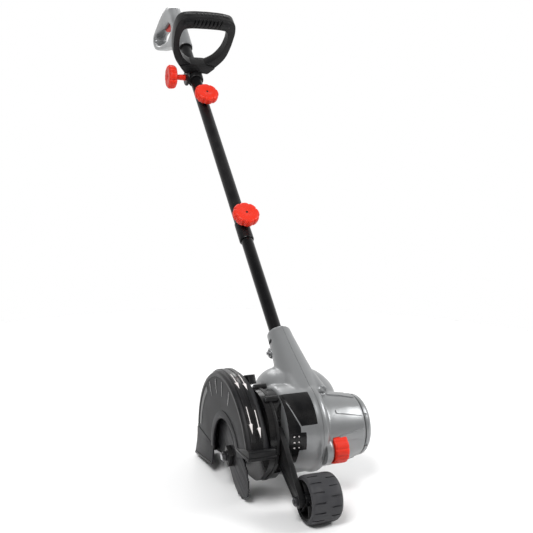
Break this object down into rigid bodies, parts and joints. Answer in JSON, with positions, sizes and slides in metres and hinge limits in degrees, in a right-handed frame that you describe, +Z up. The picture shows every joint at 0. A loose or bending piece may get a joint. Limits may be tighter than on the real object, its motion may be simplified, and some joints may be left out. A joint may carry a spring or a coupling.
{
  "type": "lawn edger",
  "caption": "Electric lawn edger with a geared blade under a half-round guard, a swinging guide wheel, a telescopic shaft, a front D-handle and a rear trigger handle.",
  "frame": {"origin": "on the ground, below the middle of the machine's bounding box", "axes": "+Z up; the machine travels towards -Y and the shaft rises towards +Y; the blade is at -X, the machine's left as the operator sees it"},
  "size_m": [0.2656, 1.2882, 1.0532],
  "materials": {
    "silver_plastic": "moulded, satin",
    "black_plastic": "moulded, satin",
    "guard_plastic": "moulded, fine grain",
    "red_plastic": "moulded, semi-gloss",
    "black_tube": "black enamel",
    "steel": "zinc plated",
    "blade_steel": "black hardened steel",
    "motor_iron": "laminated iron",
    "copper": "machined",
    "tyre": "moulded, matt"
  },
  "bodies": {
    "head": {"housing_left_shell": "silver_plastic", "housing_right_shell": "silver_plastic", "motor_end_cap": "silver_plastic", "gear_case": "black_plastic", "blade_guard": "guard_plastic", "output_bearing_left": "steel", "output_bearing_right": "steel", "motor_bearing_front": "steel", "motor_bearing_rear": "steel", "stator": "motor_iron", "brush_holder_top": "copper", "brush_holder_bottom": "copper", "rear_wheel_bracket": "black_plastic", "rear_axle": "steel", "lower_tube": "black_tube", "socket_bolt": "steel"},
    "blade_drive": {"blade": "blade_steel", "blade_inner_flange": "blade_steel", "blade_outer_flange": "black_plastic", "blade_nut": "steel", "output_shaft": "steel", "output_gear": "steel"},
    "rotor": {"armature_shaft": "steel", "drive_pinion": "steel", "armature": "motor_iron", "commutator": "copper", "cooling_fan": "black_plastic"},
    "depth_arm": {"wheel_arm": "black_plastic", "depth_shaft": "blade_steel", "depth_knob": "red_plastic", "front_axle_bolt": "steel", "front_axle_nut": "steel"},
    "front_wheel": {"front_wheel_hub": "black_plastic", "front_tyre": "tyre"},
    "rear_left_wheel": {"rear_left_wheel_hub": "black_plastic", "rear_left_tyre": "tyre"},
    "rear_right_wheel": {"rear_right_wheel_hub": "black_plastic", "rear_right_tyre": "tyre"},
    "upper_shaft": {"upper_tube": "black_tube", "lower_knob_boss": "black_plastic", "upper_knob_boss": "black_plastic", "rear_handle_left_shell": "silver_plastic", "rear_handle_right_shell": "silver_plastic", "switch_module": "black_plastic", "trigger_pin": "steel", "cable_inlet": "black_plastic"},
    "lower_knob": {"lower_tube_knob": "red_plastic", "lower_knob_bolt": "steel"},
    "upper_knob": {"upper_tube_knob": "red_plastic", "upper_knob_bolt": "steel"},
    "front_handle": {"d_handle": "black_plastic"},
    "handle_clamp": {"clamp_knob": "red_plastic", "clamp_bolt": "steel", "clamp_boss": "red_plastic"},
    "trigger_body": {"trigger": "red_plastic"},
    "lock_button": {"lock_off_button": "red_plastic"}
  },
  "joints": [
    {"name": "blade_spin", "type": "hinge", "parent": "head", "child": "blade_drive", "pos_m": [-0.1127, -0.4199, 0.0642], "axis": [1, 0, 0], "continuous": true},
    {"name": "armature_spin", "type": "hinge", "parent": "head", "child": "rotor", "pos_m": [0.0208, -0.45135, 0.09913], "axis": [1, 0, 0], "continuous": true},
    {"name": "depth_swing", "type": "hinge", "parent": "head", "child": "depth_arm", "pos_m": [-0.0545, -0.5149, 0.0882], "axis": [1, 0, 0], "range_deg": [-5, 6]},
    {"name": "front_wheel_spin", "type": "hinge", "parent": "depth_arm", "child": "front_wheel", "pos_m": [-0.0199, -0.6029, 0.0412], "axis": [1, 0, 0], "continuous": true},
    {"name": "rear_left_wheel_spin", "type": "hinge", "parent": "head", "child": "rear_left_wheel", "pos_m": [-0.0532, -0.2009, 0.038], "axis": [1, 0, 0], "continuous": true},
    {"name": "rear_right_wheel_spin", "type": "hinge", "parent": "head", "child": "rear_right_wheel", "pos_m": [0.0688, -0.2009, 0.038], "axis": [1, 0, 0], "continuous": true},
    {"name": "shaft_slide", "type": "slide", "parent": "head", "child": "upper_shaft", "axis": [0, 0.7071, 0.7071], "range_m": [-0.18, 0.08]},
    {"name": "lower_knob_turn", "type": "hinge", "parent": "upper_shaft", "child": "lower_knob", "pos_m": [0.0208, -0.12544, 0.48602], "axis": [0, -0.7071, 0.7071], "range_deg": [0, 360]},
    {"name": "upper_knob_turn", "type": "hinge", "parent": "upper_shaft", "child": "upper_knob", "pos_m": [0.0208, 0.15953, 0.77098], "axis": [0, -0.7071, 0.7071], "range_deg": [0, 360]},
    {"name": "front_handle_slide", "type": "slide", "parent": "upper_shaft", "child": "front_handle", "axis": [0, 0.7071, 0.7071], "range_m": [-0.05, 0.06]},
    {"name": "handle_clamp_turn", "type": "hinge", "parent": "front_handle", "child": "handle_clamp", "pos_m": [-0.0312, 0.25287, 0.82897], "axis": [-1, 0, 0], "range_deg": [0, 360]},
    {"name": "trigger_pull", "type": "hinge", "parent": "upper_shaft", "child": "trigger_body", "pos_m": [0.0208, 0.4731, 1.0092], "axis": [1, 0, 0], "range_deg": [0, 10], "stiffness_Nm_per_rad": 0.6, "springref_deg": -8.59},
    {"name": "lock_press", "type": "slide", "parent": "upper_shaft", "child": "lock_button", "axis": [0, -0.309, -0.9511], "range_m": [0, 0.003], "stiffness_N_per_m": 600, "springref_m": -0.001}
  ],
  "couplings": [
    {"joint": "armature_spin", "follows": "blade_spin", "ratio": -4.2222}
  ]
}
